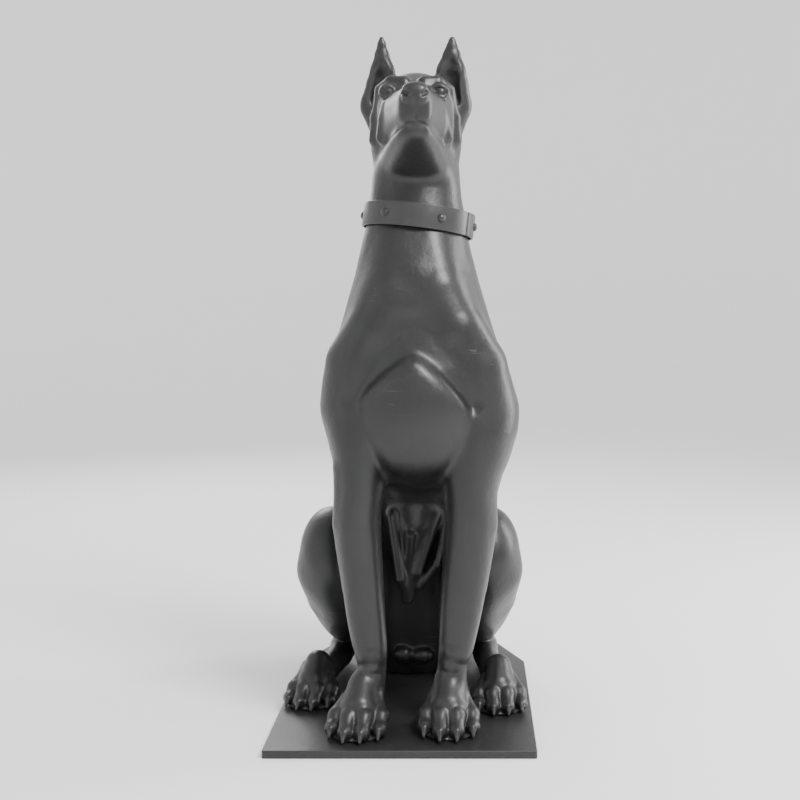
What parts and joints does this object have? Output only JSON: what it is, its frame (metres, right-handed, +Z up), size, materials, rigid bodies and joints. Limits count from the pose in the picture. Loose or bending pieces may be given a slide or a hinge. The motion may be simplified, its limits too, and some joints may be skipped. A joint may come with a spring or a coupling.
{
  "type": "cast iron dog statue",
  "caption": "Life-size seated guard dog in black-painted cast iron, ears cropped and raised, on a thin base plate, wearing a band collar with domed rivets.",
  "frame": {"origin": "centre of the base plate's underside", "axes": "+Z up, the dog looks along -Y, so +X is the dog's left side; a viewer in front of it sees +X on the right"},
  "size_m": [0.375, 0.53, 0.9985],
  "materials": {
    "dog_iron": "satin black paint over cast iron, worn and faintly pitted",
    "plate_iron": "satin black paint over cast iron, scuffed, with paler edges",
    "collar_iron": "smooth satin black paint over iron strap",
    "rivet_iron": "satin black paint, polished by handling on the crowns"
  },
  "bodies": {
    "root": {"dog": "dog_iron", "base_plate": "plate_iron", "collar_band": "collar_iron", "collar_stud_1": "rivet_iron", "collar_stud_2": "rivet_iron", "collar_stud_3": "rivet_iron", "collar_stud_4": "rivet_iron", "collar_stud_5": "rivet_iron", "collar_stud_6": "rivet_iron"}
  },
  "joints": []
}
